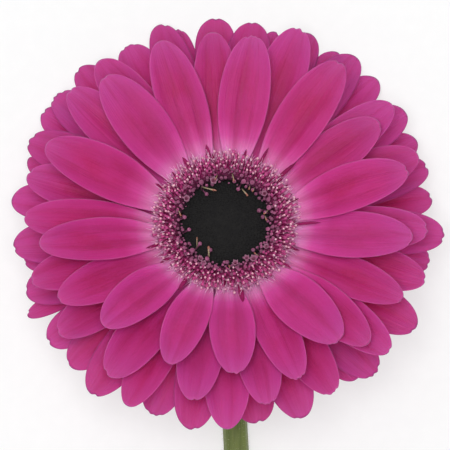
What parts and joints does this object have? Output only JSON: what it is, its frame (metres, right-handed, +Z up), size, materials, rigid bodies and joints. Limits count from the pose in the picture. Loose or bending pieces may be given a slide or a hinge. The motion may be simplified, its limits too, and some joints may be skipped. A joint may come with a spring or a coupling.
{
  "type": "cut gerbera",
  "caption": "A cut gerbera laid on a table: a magenta flower head with a near-black eye, facing up on a short bent neck, and its green stem along the surface, cut on a slant.",
  "frame": {"origin": "middle of the box's underside, on the surface that the flower lies on", "axes": "+Z up, the way the flower head faces; -Y along the stem to its cut end; +X to the right of the head with the stem pointing down the view"},
  "size_m": [0.111, 0.2836, 0.0489],
  "materials": {
    "petal": "fresh petal, soft satin with fine lengthwise veins, paler at the root",
    "eye": "near-black closed florets, matte",
    "floret": "small open florets, purple-magenta with pale pink tips",
    "bract": "green scales, matte with fine pale hairs",
    "receptacle": "fleshy green, matte",
    "stem": "fresh stem, satin olive green with fine hairs"
  },
  "bodies": {
    "root": {"stem": "stem", "receptacle": "receptacle", "bracts": "bract", "eye": "eye", "floret_ring": "floret", "petal_front_01": "petal", "petal_front_02": "petal", "petal_front_03": "petal", "petal_front_04": "petal", "petal_front_05": "petal", "petal_front_06": "petal", "petal_front_07": "petal", "petal_front_08": "petal", "petal_front_09": "petal", "petal_front_10": "petal", "petal_front_11": "petal", "petal_front_12": "petal", "petal_front_13": "petal", "petal_front_14": "petal", "petal_front_15": "petal", "petal_front_16": "petal", "petal_front_17": "petal", "petal_front_18": "petal", "petal_front_19": "petal", "petal_middle_01": "petal", "petal_middle_02": "petal", "petal_middle_03": "petal", "petal_middle_04": "petal", "petal_middle_05": "petal", "petal_middle_06": "petal", "petal_middle_07": "petal", "petal_middle_08": "petal", "petal_middle_09": "petal", "petal_middle_10": "petal", "petal_middle_11": "petal", "petal_middle_12": "petal", "petal_middle_13": "petal", "petal_middle_14": "petal", "petal_middle_15": "petal", "petal_middle_16": "petal", "petal_middle_17": "petal", "petal_rear_01": "petal", "petal_rear_02": "petal", "petal_rear_03": "petal", "petal_rear_04": "petal", "petal_rear_05": "petal", "petal_rear_06": "petal", "petal_rear_07": "petal", "petal_rear_08": "petal", "petal_rear_09": "petal", "petal_rear_10": "petal", "petal_rear_11": "petal", "petal_rear_12": "petal", "petal_rear_13": "petal", "petal_rear_14": "petal", "petal_rear_15": "petal", "petal_rear_16": "petal", "petal_rear_17": "petal", "petal_rear_18": "petal", "petal_rear_19": "petal"}
  },
  "joints": []
}
